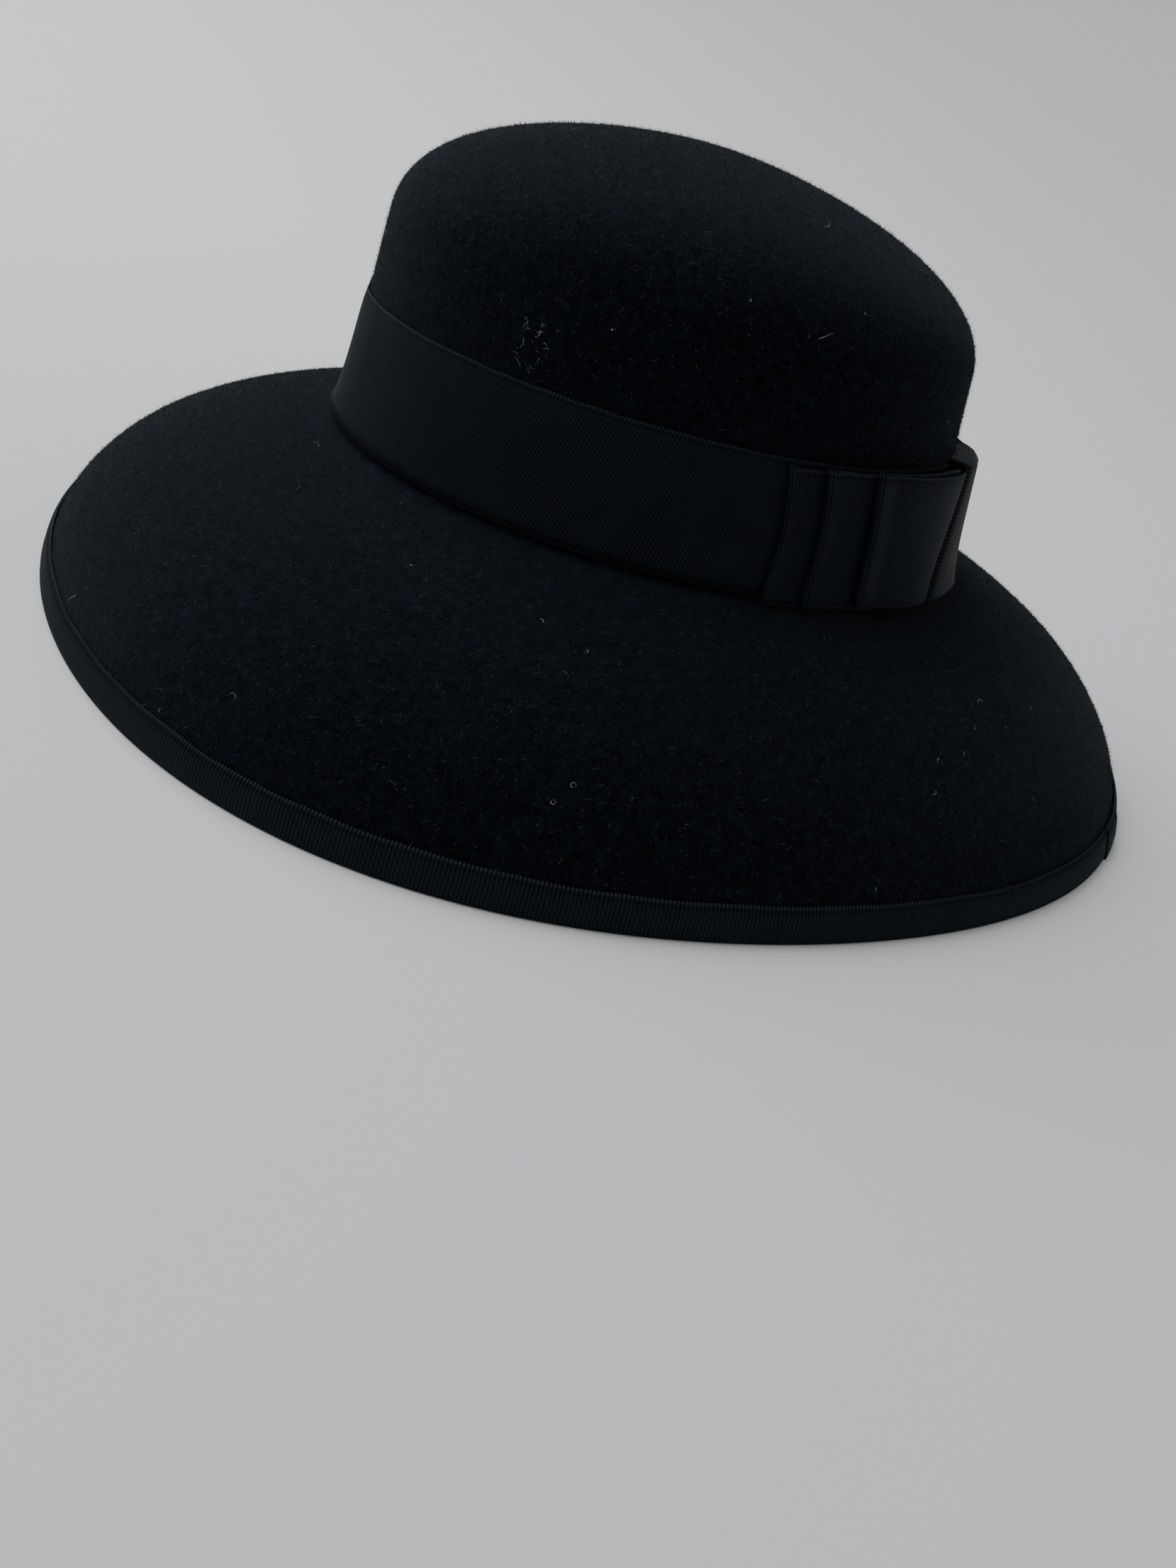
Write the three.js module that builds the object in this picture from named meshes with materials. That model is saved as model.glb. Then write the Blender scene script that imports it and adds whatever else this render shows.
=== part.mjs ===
// A wide droop brim hat of black felt: a round crown and a brim that turns down to a level rim, blocked
// from one felt body, with a ribbed ribbon round the crown, a flat bow of stacked loops at the back and
// the same kind of ribbon folded over the rim. Millimetres, +Z up, the front of the hat towards -Y and
// the wearer's left towards +X. The rim stands on Z = 0.
import * as THREE from "three";

// The felt body. Heights of the crown are counted from its foot, where it meets the brim.
const headLength = 196; // inside the foot of the crown, front to back
const headWidth = 166; // inside the foot of the crown, side to side
const feltWall = 2.4;
const crownHeight = 96.8;
const shoulderHeight = 59.2; // where the leaning wall ends and the dome begins
const crownLean = 13.1; // by which each wall draws in from the foot over the height of the crown
const domeRise = 2.32; // superellipse power of the dome along its height
const domeSpread = 1.72; // superellipse power of the dome across its width
const crownTilt = 2.8; // by which the crown's shape sinks towards the back and rises towards the front
const footFlare = 2.9; // by which the foot of the wall spreads
const footFlareHeight = 8; // height over which that spread dies away
const footRound = 2.6; // run of wall and of brim that the bend between them takes up
const brimReach = 86.3; // from the foot of the crown out to the rim, level
const brimDrop = 52.4; // from the foot of the crown down to the rim

// Ribbon. The fit is the gap that touching pieces keep.
const ribbonThick = 1;
const fit = 0.3;
const bandWidth = 35.5; // of the ribbon round the crown, and of the bow's loops
const bindingWidth = 9.5; // of each leaf of the ribbon that is folded over the rim
const bindingRound = 0.9; // rounding of its fold on each side
const lapTurn = 3.5; // degrees from the middle of the back where the binding's end is lapped over
const lapSpan = 5; // degrees over which it is lapped
const lapThick = 0.6;

// The bow: loops of ribbon that lie on one another and are drawn together by a knot.
const bowTurn = 2.6; // degrees from the middle of the back to the knot, towards the wearer's left
const bowSink = 1.2; // by which the loops' edges lie lower than those of the band
const slit = 0.4; // between the two leaves of a loop
const pressedSlit = 0.2; // between them where they are pressed under the knot
const slitRun = 6; // beside the knot, over which the loop opens and spreads to its full width
const knotWidth = 24;
const knotLean = 15; // by which its foot lies further to the wearer's left than its head
const leanRun = 25; // beside the knot, over which the loops lean along with it
const knotThick = 1.2;
const knotRound = 0.8; // by which the knot's long edges are turned in
const knotPinch = 1.6; // by which the knot draws in the edges of the loops
const loops = [
  { name: "bow_loop_long", reach: 75.5, bulge: 0 },
  { name: "bow_loop_middle", reach: 64.5, bulge: 0.2 },
  { name: "bow_loop_short", reach: 49.5, bulge: 2.2 },
];

// How far the brim comes out, and how it bends, in directions counted in degrees from the back. reach is
// a share of brimReach. bendOut and bendDown place the bend, as shares of that reach and of brimDrop.
const brimSections = [
  { from: "back", turn: 0, reach: 0.905, bendOut: 0.844, bendDown: 0.223 },
  { from: "back quarter", turn: 45, reach: 0.86, bendOut: 0.871, bendDown: 0.226 },
  { from: "side", turn: 90, reach: 1.0, bendOut: 0.906, bendDown: 0.233 },
  { from: "front quarter", turn: 135, reach: 0.93, bendOut: 0.902, bendDown: 0.239 },
  { from: "front", turn: 180, reach: 0.949, bendOut: 0.888, bendDown: 0.242 },
];

// Fineness of the faceted surfaces.
const around = 72;
const domeRings = 8;
const bendRings = 3;
const brimRings = 8;
const brimCrowding = 1.4; // power by which the brim's rings lie closer where it bends most, at the rim
const bandRings = [1, 0.4, 0.15, 0]; // shares of the band's width, closest where the wall flares
const loopRings = [0, 0.2, 0.6, 1]; // and of a loop's
const bowStep = 8; // greatest run of a facet of the bow's loops
const knotSteps = 8;

const degree = Math.PI / 180;
const halfLength = headLength / 2 + feltWall;
const halfWidth = headWidth / 2 + feltWall;
const ribbonFace = fit + ribbonThick; // from the felt to the outer face of a ribbon on it
const footLevel = ribbonFace + brimDrop; // of the foot of the crown over the floor
const crownShift = (reachAt(180) - reachAt(0)) / 2; // centres the rim on the origin

// A column of brimSections in any direction, by the even cosine series that passes through its rows.
function sectionValue(column, turn) {
  const last = brimSections.length - 1;
  const endShare = (i) => (i === 0 || i === last ? 0.5 : 1);
  let sum = 0;
  for (let wave = 0; wave <= last; wave++) {
    let weight = 0;
    brimSections.forEach((row, i) => {
      weight += endShare(i) * row[column] * Math.cos(wave * row.turn * degree);
    });
    sum += (endShare(wave) * 2 * weight * Math.cos(wave * turn * degree)) / last;
  }
  return sum;
}

function reachAt(turn) {
  return brimReach * sectionValue("reach", turn);
}

// The outward direction of the foot oval, turn degrees from the back towards the wearer's left.
function ovalNormal(turn) {
  const a = turn * degree;
  return new THREE.Vector3(Math.sin(a) / halfWidth, Math.cos(a) / halfLength, 0).normalize();
}

// The felt's outer face on the crown, on the foot oval at a height and drawn in by a share.
function crownPoint(turn, height, share = 1) {
  const a = turn * degree;
  const lean = (crownLean * height) / crownHeight;
  const spread = footFlare * (1 - Math.exp(-height / footFlareHeight));
  const scale = (1 - (lean + spread) / halfLength) * share;
  const back = halfLength * scale * Math.cos(a);
  const level = height * (1 - (crownTilt * back) / (halfLength * crownHeight));
  return new THREE.Vector3(halfWidth * scale * Math.sin(a), crownShift + back, footLevel + level);
}

// Its outer face on the brim, along 0 at the foot of the crown and 1 at the rim: a parabola from the
// foot oval to the rim, whose handle is the bend.
function brimPoint(turn, along) {
  const handle = 2 * along * (1 - along);
  const out = reachAt(turn) * (handle * sectionValue("bendOut", turn) + along ** 2);
  const down = brimDrop * (handle * sectionValue("bendDown", turn) + along ** 2);
  const foot = crownPoint(turn, 0);
  return foot.addScaledVector(ovalNormal(turn), out).setZ(footLevel - down);
}

// The ribbon round the foot of the crown clears the bend there.
const bandFoot = footRound / 2 + 2 * fit;
const bandHeights = bandRings.map((share) => bandFoot + bandWidth * share);
const bandTop = bandHeights[0];

// The whole outer face from the top of the crown to the rim, as faces that follow one another downwards.
// Each gives a point from a turn and a share of its own length, and has corners at some shares.
const footAlong = footRound / (2 * brimReach * sectionValue("bendOut", 90));
const evenShares = (count) => Array.from({ length: count }, (_, i) => (i + 1) / count);
const wallHeights = [...bandHeights.slice(0, -1), footRound];
const wallShares = wallHeights.map((height) => (shoulderHeight - height) / (shoulderHeight - footRound));
const brimShares = evenShares(brimRings).map((share) => 1 - (1 - share) ** brimCrowding);
const feltFaces = [
  { point: domePoint, shares: evenShares(domeRings) },
  { point: wallPoint, shares: wallShares },
  { point: bendPoint, shares: evenShares(bendRings) },
  { point: openBrimPoint, shares: brimShares },
];

function domePoint(turn, share) {
  const angle = (Math.PI / 2) * (1 - share);
  const rise = Math.abs(Math.sin(angle)) ** (2 / domeRise);
  const height = shoulderHeight + (crownHeight - shoulderHeight) * Math.sign(angle) * rise;
  return crownPoint(turn, height, Math.cos(angle) ** (2 / domeSpread));
}

function wallPoint(turn, share) {
  return crownPoint(turn, shoulderHeight + (footRound - shoulderHeight) * share);
}

function bendPoint(turn, share) {
  const ends = [crownPoint(turn, footRound), crownPoint(turn, 0), brimPoint(turn, footAlong)];
  return new THREE.QuadraticBezierCurve3(...ends).getPoint(share);
}

function openBrimPoint(turn, share) {
  return brimPoint(turn, footAlong + (1 - footAlong) * share);
}

// The outward direction of such a face.
function faceNormal(point, turn, share) {
  const step = 0.01;
  const round = point(turn + step, share).sub(point(turn - step, share));
  const down = point(turn, share + step).sub(point(turn, share - step));
  return round.cross(down).normalize();
}

// A closed mesh from rings of points. Without end points the last ring meets the first. With them, the
// first end closes the first ring and the other the last.
function meshOfRings(rings, ends = []) {
  const count = rings[0].length;
  const points = [...rings.flat(), ...ends];
  const index = (ring, i) => (ring % rings.length) * count + (i % count);
  const faces = [];
  const ringSteps = ends.length ? rings.length - 1 : rings.length;
  for (let ring = 0; ring < ringSteps; ring++) {
    for (let i = 0; i < count; i++) {
      const [a, b] = [index(ring, i), index(ring, i + 1)];
      const [c, d] = [index(ring + 1, i), index(ring + 1, i + 1)];
      faces.push(a, b, c, b, d, c);
    }
  }
  if (ends.length) {
    const [first, last] = [points.length - 2, points.length - 1];
    for (let i = 0; i < count; i++) {
      faces.push(first, index(0, i + 1), index(0, i));
      faces.push(last, index(rings.length - 1, i), index(rings.length - 1, i + 1));
    }
  }
  const geometry = new THREE.BufferGeometry().setFromPoints(points);
  geometry.setIndex(faces);
  geometry.computeVertexNormals();
  return geometry;
}

const turns = Array.from({ length: around }, (_, i) => (360 * i) / around);

// Crown and brim in one felt shell, open below. Its edge at the rim is cut level.
function feltBody() {
  const [outer, inner] = [[], []];
  for (const { point, shares } of feltFaces) {
    for (const share of shares) {
      const behind = (turn) => faceNormal(point, turn, share).multiplyScalar(-feltWall);
      outer.push(turns.map((turn) => point(turn, share)));
      inner.push(turns.map((turn) => point(turn, share).add(behind(turn))));
    }
  }
  inner[inner.length - 1] = turns.map((turn) => rimPoint(turn, -feltWall, ribbonFace));
  const top = crownPoint(0, crownHeight, 0);
  const under = top.clone().setZ(top.z - feltWall);
  return meshOfRings([...outer, ...inner.reverse()], [top, under]);
}

// A point beside the felt's rim, at a distance out from its outer face and at a level over the floor.
function rimPoint(turn, out, level) {
  const step = 0.01;
  const rim = brimPoint(turn, 1);
  const down = rim.clone().sub(brimPoint(turn, 1 - step)).normalize();
  const slope = Math.hypot(down.x, down.y);
  const across = (out + (rim.z - level) * slope) / -down.z;
  return rim.addScaledVector(ovalNormal(turn), across).setZ(level);
}

// A point beside the felt's outer face, at a run up from the rim.
function besideBrim(turn, out, run) {
  const level = reachAt(turn) * (1 - sectionValue("bendOut", turn));
  const drop = brimDrop * (1 - sectionValue("bendDown", turn));
  const along = 1 - run / (2 * Math.hypot(level, drop));
  const normal = faceNormal(brimPoint, turn, along);
  return brimPoint(turn, along).addScaledVector(normal, out);
}

// A point beside the felt's outer face on the crown, at a distance out along the oval's direction.
function besideCrown(turn, height, out) {
  return crownPoint(turn, height).addScaledVector(ovalNormal(turn), out);
}

function hatBand() {
  const ring = (height, out) => turns.map((turn) => besideCrown(turn, height, out));
  const outer = bandHeights.map((height) => ring(height, ribbonFace));
  const inner = bandHeights.map((height) => ring(height, fit));
  return meshOfRings([...outer, ...inner.reverse()]);
}

// The ribbon folded over the rim, a U in section with a flat foot. Its end is lapped over its start.
function brimBinding() {
  const lapEdge = 0.05;
  const lapEnds = [lapTurn, lapTurn + lapEdge, lapTurn + lapSpan, lapTurn + lapSpan + lapEdge];
  const spacing = 360 / around;
  const clear = (turn) => lapEnds.every((end) => Math.abs(turn - end) > spacing / 8);
  const bindingTurns = [...turns.filter(clear), ...lapEnds].sort((a, b) => a - b);
  const lap = (turn) => (turn > lapEnds[0] && turn < lapEnds[3] ? lapThick : 0);
  const run = bindingWidth - ribbonFace;
  const inside = -feltWall - ribbonFace;
  const turnedIn = bindingRound * 0.3;
  const section = [
    (turn) => besideBrim(turn, ribbonFace + lap(turn), run),
    (turn) => rimPoint(turn, ribbonFace + lap(turn), ribbonFace + bindingRound),
    (turn) => rimPoint(turn, ribbonFace - turnedIn, turnedIn),
    (turn) => rimPoint(turn, ribbonFace - bindingRound, 0),
    (turn) => rimPoint(turn, inside + bindingRound, 0),
    (turn) => rimPoint(turn, inside + turnedIn, turnedIn),
    (turn) => rimPoint(turn, inside, ribbonFace + bindingRound),
    (turn) => besideBrim(turn, inside, run),
    (turn) => besideBrim(turn, inside + ribbonThick, run),
    (turn) => rimPoint(turn, inside + ribbonThick, ribbonThick),
    (turn) => rimPoint(turn, fit, ribbonThick),
    (turn) => besideBrim(turn, fit, run),
  ];
  return meshOfRings(section.map((point) => bindingTurns.map((turn) => point(turn))));
}

// A point of the bow, at a run round the band from the middle of the knot, a distance out from the band
// and a height on the crown.
const bowMiddle = bandFoot + bandWidth / 2;
const knotHalf = knotWidth / 2;
const grow = (from, length, run) => THREE.MathUtils.clamp((Math.abs(run) - from) / length, 0, 1);

function bowPoint(run, out, height) {
  const steps = 30;
  const lean = (knotLean * (bowMiddle - height)) / bandWidth;
  const leanedRun = run + lean * (1 - grow(knotHalf, leanRun, run));
  let turn = bowTurn;
  for (let i = 0; i < steps; i++) {
    const here = besideCrown(turn, bowMiddle, ribbonFace);
    const perDegree = here.distanceTo(besideCrown(turn + 1, bowMiddle, ribbonFace));
    turn += leanedRun / steps / perDegree;
  }
  return besideCrown(turn, height, ribbonFace + out);
}

// How thick a loop is, and how far out from the band it starts, at a run from the middle of the knot. Its
// bulge is fullest nearer to the knot than to the fold.
function loopDepth(loop, run) {
  const parting = pressedSlit + (slit - pressedSlit) * grow(knotHalf, slitRun, run);
  const arch = Math.sin(Math.PI * grow(knotHalf, loop.reach - knotHalf, run) ** 0.7);
  return 2 * ribbonThick + parting + loop.bulge * arch;
}

function loopFloor(level, run) {
  return loops.slice(0, level).reduce((sum, loop) => sum + loopDepth(loop, run) + fit, fit);
}

// A flattened loop of ribbon that reaches to both sides of the knot, open at its upper and lower edges.
function bowLoop(loop, level) {
  const foldRadius = ribbonThick + slit / 2;
  const fold = loop.reach - foldRadius;
  const runs = [knotHalf / 2, knotHalf, knotHalf + slitRun];
  while (fold - runs.at(-1) > bowStep * 1.5) runs.push(runs.at(-1) + bowStep);
  runs.push(fold);
  const allRuns = [...runs.toReversed().map((run) => -run), 0, ...runs];
  const floorAt = (run) => loopFloor(level, run);
  const roofAt = (run) => floorAt(run) + loopDepth(loop, run);
  const foldMiddle = (floorAt(fold) + roofAt(fold)) / 2;
  const foldAngles = [-60, -20, 20, 60].map((angle) => angle * degree);
  const foldAt = (radius, angle) => [
    fold + radius * Math.cos(angle),
    foldMiddle + radius * Math.sin(angle),
  ];
  const otherSide = ([run, out]) => [-run, out];
  const outline = (inset) => [
    ...allRuns.map((run) => [run, floorAt(run) + inset]),
    ...foldAngles.map((angle) => foldAt(foldRadius - inset, angle)),
    ...allRuns.toReversed().map((run) => [run, roofAt(run) - inset]),
    ...foldAngles.toReversed().map((angle) => otherSide(foldAt(foldRadius - inset, angle))),
  ];
  const ring = (points, share) =>
    points.map(([run, out]) => {
      const pinch = knotPinch * (1 - grow(knotHalf, slitRun, run));
      return bowPoint(run, out, bandFoot - bowSink + pinch + (bandWidth - 2 * pinch) * share);
    });
  const outer = loopRings.map((share) => ring(outline(0), share));
  const inner = loopRings.map((share) => ring(outline(ribbonThick), share));
  return meshOfRings([...outer, ...inner.reverse()]);
}

// The ribbon wrapped over the middle of the bow and the edges of the band, open towards the crown.
function bowKnot() {
  const inner = loopFloor(loops.length, 0);
  const outer = inner + knotThick;
  const foot = bandFoot - bowSink + knotPinch - fit;
  const head = bandTop + fit;
  const section = [
    [fit, foot - knotThick],
    [outer - knotRound, foot - knotThick],
    [outer, foot - knotThick + knotRound],
    [outer, head + knotThick - knotRound],
    [outer - knotRound, head + knotThick],
    [-ribbonThick, head + knotThick],
    [-ribbonThick, head],
    [inner, head],
    [inner, foot],
    [fit, foot],
  ];
  const shape = new THREE.Shape(section.map(([out, height]) => new THREE.Vector2(out, height)));
  const geometry = new THREE.ExtrudeGeometry(shape, { depth: 1, steps: knotSteps, bevelEnabled: false });
  const position = geometry.getAttribute("position");
  for (let i = 0; i < position.count; i++) {
    const run = knotWidth * (position.getZ(i) - 0.5);
    const p = bowPoint(run, position.getX(i), position.getY(i));
    position.setXYZ(i, p.x, p.y, p.z);
  }
  geometry.deleteAttribute("uv");
  geometry.computeVertexNormals();
  return geometry;
}

const felt = new THREE.MeshStandardMaterial({ color: 0x17181a, roughness: 1, metalness: 0 });
const ribbon = new THREE.MeshStandardMaterial({ color: 0x15161c, roughness: 0.7, metalness: 0 });

const hat = new THREE.Group();
function addPiece(name, geometry, material) {
  const mesh = new THREE.Mesh(geometry, material);
  mesh.name = name;
  hat.add(mesh);
}

addPiece("felt_body", feltBody(), felt);
addPiece("hat_band", hatBand(), ribbon);
addPiece("brim_binding", brimBinding(), ribbon);
loops.forEach((loop, level) => addPiece(loop.name, bowLoop(loop, level), ribbon));
addPiece("bow_knot", bowKnot(), ribbon);

export default hat;
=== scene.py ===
# A wide droop brim hat of black fur felt, with a grosgrain band, a flat layered bow at the back and a
# ribbon-bound rim. Sizes are in millimetres and turned to metres as a mesh is made. +Z is up, the front of
# the hat is towards -Y and the wearer's left towards +X. turn is counted in degrees from the middle of the
# back towards the wearer's left.
import math

import bpy
import numpy as np
from mathutils import Matrix


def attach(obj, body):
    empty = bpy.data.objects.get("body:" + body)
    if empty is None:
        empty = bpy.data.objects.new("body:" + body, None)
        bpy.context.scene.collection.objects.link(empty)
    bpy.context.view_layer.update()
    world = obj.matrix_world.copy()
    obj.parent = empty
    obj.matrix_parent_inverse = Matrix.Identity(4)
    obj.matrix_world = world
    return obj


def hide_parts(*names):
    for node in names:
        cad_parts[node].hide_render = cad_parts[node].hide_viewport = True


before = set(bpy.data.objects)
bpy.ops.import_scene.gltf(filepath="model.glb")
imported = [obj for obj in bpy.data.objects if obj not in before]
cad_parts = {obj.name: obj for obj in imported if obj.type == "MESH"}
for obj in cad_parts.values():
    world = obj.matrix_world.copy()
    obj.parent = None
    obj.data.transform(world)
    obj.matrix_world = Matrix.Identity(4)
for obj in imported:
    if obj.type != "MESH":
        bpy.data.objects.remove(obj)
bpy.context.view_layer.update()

metre = 0.001  # metres in a millimetre
print("frame loaded:", ", ".join(sorted(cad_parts)))


# sRGB hex to linear: a channel c is c / 12.92 up to 0.04045 and ((c + 0.055) / 1.055) ^ 2.4 above it.
def linearColor(hexText):
    channels = [int(hexText[i:i + 2], 16) / 255 for i in (1, 3, 5)]
    return [c / 12.92 if c <= 0.04045 else ((c + 0.055) / 1.055) ** 2.4 for c in channels] + [1.0]


# Adds one node. A setting is a property of the node or the value of one of its sockets.
def addNode(tree, kind, settings={}, links={}):
    node = tree.nodes.new(kind)
    for key, value in settings.items():
        if isinstance(key, str) and hasattr(node, key):
            setattr(node, key, value)
        else:
            node.inputs[key].default_value = value
    for key, source in links.items():
        tree.links.new(source, node.inputs[key])
    return node


# A material with a Principled surface, and its node tree and surface node for more.
def startMaterial(name, surface):
    material = bpy.data.materials.new(name)
    material.use_nodes = True
    tree = material.node_tree
    tree.nodes.clear()
    shader = addNode(tree, "ShaderNodeBsdfPrincipled", surface)
    addNode(tree, "ShaderNodeOutputMaterial", links={"Surface": shader.outputs[0]})
    return material, tree, shader


# Faces of a grid: point (row, column) is joined to its neighbours, and the last row or column to the first
# where the grid is closed that way. Also gives each face corner's row and column, uncut at the seam.
def gridFaces(rows, columns, closeRows, closeColumns):
    row, column = np.meshgrid(
        np.arange(rows if closeRows else rows - 1),
        np.arange(columns if closeColumns else columns - 1),
        indexing="ij",
    )
    cornerRows = np.stack([row, row + 1, row + 1, row], -1).reshape(-1, 4)
    cornerColumns = np.stack([column, column, column + 1, column + 1], -1).reshape(-1, 4)
    faces = (cornerRows % rows) * columns + cornerColumns % columns
    return faces, cornerRows, cornerColumns


# Puts points, in millimetres, and faces of one size into a mesh object that rides on the hat.
def addPiece(name, points, faces, material, corners=None, smooth=True):
    mesh = bpy.data.meshes.new(name)
    mesh.vertices.add(len(points))
    mesh.vertices.foreach_set("co", (points * metre).astype(np.float32).ravel())
    sizes = np.concatenate([np.full(len(part), part.shape[1]) for part in faces])
    mesh.loops.add(int(sizes.sum()))
    mesh.loops.foreach_set("vertex_index", np.concatenate([part.ravel() for part in faces]).astype(np.int32))
    mesh.polygons.add(len(sizes))
    mesh.polygons.foreach_set("loop_start", (np.cumsum(sizes) - sizes).astype(np.int32))
    mesh.polygons.foreach_set("use_smooth", np.full(len(sizes), smooth))
    if corners is not None:
        layer = mesh.uv_layers.new(name="ribbonRun")
        layer.data.foreach_set("uv", (corners * metre).astype(np.float32).ravel())
    mesh.update(calc_edges=True)
    mesh.validate()
    mesh.materials.append(material)
    piece = bpy.data.objects.new(name, mesh)
    bpy.context.scene.collection.objects.link(piece)
    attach(piece, "root")
    return piece


# A closed skin from a grid of points (rows, columns, 3) whose rows go round. Without closeRows a fan closes
# each end. The signed volume, the sum of a . (b x c) over its triangles, says whether it is inside out.
# along and across give each column's and each row's place on the ribbon, and swapped says that the ribbon
# runs along the rows instead.
def addSkin(name, grid, material, closeRows=False, along=None, across=None, swapped=False):
    rows, columns = grid.shape[:2]
    points = grid.reshape(-1, 3)
    quads, cornerRows, cornerColumns = gridFaces(rows, columns, closeRows, True)
    faces = [quads]
    corners = None
    if along is not None:
        corners = np.stack([along[cornerColumns], across[cornerRows]], -1).reshape(-1, 2)
        corners = corners[:, ::-1] if swapped else corners
    if not closeRows:
        ends = np.stack([grid[0].mean(0), grid[-1].mean(0)])
        ring = np.arange(columns)
        after = (ring + 1) % columns
        last = (rows - 1) * columns
        first = np.stack([np.full(columns, len(points)), ring, after], -1)
        final = np.stack([np.full(columns, len(points) + 1), last + after, last + ring], -1)
        points = np.concatenate([points, ends])
        faces.append(np.concatenate([first, final]))
        if corners is not None:
            corners = np.concatenate([corners, np.zeros((6 * columns, 2))])
    triangles = np.concatenate([quads[:, [0, 1, 2]], quads[:, [0, 2, 3]]] + faces[1:])
    a, b, c = (points[triangles[:, k]] for k in range(3))
    if np.einsum("ij,ij->i", a, np.cross(b, c)).sum() < 0:
        faces = [part[:, ::-1] for part in faces]
        if corners is not None:
            count = 4 * len(quads)
            turned = corners[:count].reshape(-1, 4, 2)[:, ::-1].reshape(-1, 2)
            corners = np.concatenate([turned, corners[count:]])
    return addPiece(name, points, faces, material, corners)


# The felt as it is blocked. Heights of the crown are counted from its foot.
feltShape = {
    "headLength": 196,
    "headWidth": 166,
    "wall": 2.4,
    "crownHeight": 96.8,
    "shoulderHeight": 59.2,
    "crownLean": 13.1,
    "domeRise": 2.32,
    "domeSpread": 1.72,
    "crownTilt": 2.8,
    "footFlare": 2.9,
    "footFlareHeight": 8,
    "footRound": 2.6,
    "brimReach": 86.3,
    "brimDrop": 52.4,
}
# The brim's reach, as a share of brimReach, and the place of its bend, in directions round the hat.
brimSections = {
    "turn": [0, 45, 90, 135, 180],
    "reach": [0.905, 0.86, 1.0, 0.93, 0.949],
    "bendOut": [0.844, 0.871, 0.906, 0.902, 0.888],
    "bendDown": [0.223, 0.226, 0.233, 0.239, 0.242],
}
# The ribbon, and the gap that it keeps to what it is sewn to.
ribbonShape = {
    "thick": 1,
    "fit": 0.3,
    "bandWidth": 35.5,
    "bindingWidth": 9.5,
    "ribPitch": 1.0,  # a real rib is 0.8 wide, too fine to show
    "ribDepth": 0.2,
    "scallop": 0.22,  # by which a rib's end stands out of the selvedge
}

halfLength = feltShape["headLength"] / 2 + feltShape["wall"]
halfWidth = feltShape["headWidth"] / 2 + feltShape["wall"]
ribbonFace = ribbonShape["fit"] + ribbonShape["thick"]
footLevel = ribbonFace + feltShape["brimDrop"]
bandFoot = feltShape["footRound"] / 2 + 2 * ribbonShape["fit"]
bandTop = bandFoot + ribbonShape["bandWidth"]
upward = np.array([0.0, 0.0, 1.0])


# A column of brimSections in any direction, by the even cosine series through its rows.
def sectionValue(column, turn):
    values = np.array(brimSections[column])
    waves = np.arange(len(values))
    ends = np.where((waves == 0) | (waves == waves[-1]), 0.5, 1)
    known = np.cos(np.outer(waves, np.radians(brimSections["turn"])))
    weights = 2 * ends * (known @ (ends * values)) / waves[-1]
    return np.cos(np.radians(np.asarray(turn, float))[..., None] * waves) @ weights


def reachAt(turn):
    return feltShape["brimReach"] * sectionValue("reach", turn)


crownShift = float(reachAt(180) - reachAt(0)) / 2  # centres the rim on the origin


# Lengths as vectors of length one.
def unit(vectors):
    return vectors / np.linalg.norm(vectors, axis=-1, keepdims=True)


# Outward direction of the foot oval: (sin a / half width, cos a / half length), made one long.
def ovalNormal(turn):
    angle = np.radians(turn)
    return unit(np.stack([np.sin(angle) / halfWidth, np.cos(angle) / halfLength, 0 * angle], -1))


# The felt's outer face on the crown: the foot oval, drawn in by the lean of the wall, by the flare that
# dies away over its height and by a share, and tilted so that it sinks towards the back.
def crownPoint(turn, height, share=1.0):
    angle = np.radians(turn)
    lean = feltShape["crownLean"] * height / feltShape["crownHeight"]
    spread = feltShape["footFlare"] * (1 - np.exp(-height / feltShape["footFlareHeight"]))
    scale = (1 - (lean + spread) / halfLength) * share
    back = halfLength * scale * np.cos(angle)
    level = height * (1 - feltShape["crownTilt"] * back / (halfLength * feltShape["crownHeight"]))
    side = halfWidth * scale * np.sin(angle)
    return np.stack(np.broadcast_arrays(side, crownShift + back, footLevel + level), -1)


# Its outer face on the brim: a parabola from the foot oval (along 0) to the rim (along 1), with the bend
# as its handle. Out and down are each 2t(1 - t) times the handle plus t squared.
def brimPoint(turn, along):
    handle = 2 * along * (1 - along)
    out = reachAt(turn) * (handle * sectionValue("bendOut", turn) + along ** 2)
    down = feltShape["brimDrop"] * (handle * sectionValue("bendDown", turn) + along ** 2)
    foot = crownPoint(turn, 0.0)
    return foot + ovalNormal(turn) * out[..., None] - upward * down[..., None]


# Share of the brim that the rounding at the foot of the crown takes up.
footAlong = feltShape["footRound"] / (2 * feltShape["brimReach"] * sectionValue("bendOut", 90))


# The dome: a quarter superellipse, rise = sin ^ (2 / domeRise) and spread = cos ^ (2 / domeSpread).
def domePoint(turn, share):
    angle = np.pi / 2 * (1 - share)
    rise = np.sin(angle) ** (2 / feltShape["domeRise"])
    height = feltShape["shoulderHeight"] + (feltShape["crownHeight"] - feltShape["shoulderHeight"]) * rise
    return crownPoint(turn, height, np.cos(angle) ** (2 / feltShape["domeSpread"]))


def wallPoint(turn, share):
    shoulder = feltShape["shoulderHeight"]
    return crownPoint(turn, shoulder + (feltShape["footRound"] - shoulder) * share)


# The rounding at the foot: a parabola with the foot oval as its handle.
def bendPoint(turn, share):
    share = share[..., None]
    start, handle = crownPoint(turn, feltShape["footRound"]), crownPoint(turn, 0.0)
    end = brimPoint(turn, footAlong + 0 * turn)
    return start * (1 - share) ** 2 + handle * 2 * share * (1 - share) + end * share ** 2


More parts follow.
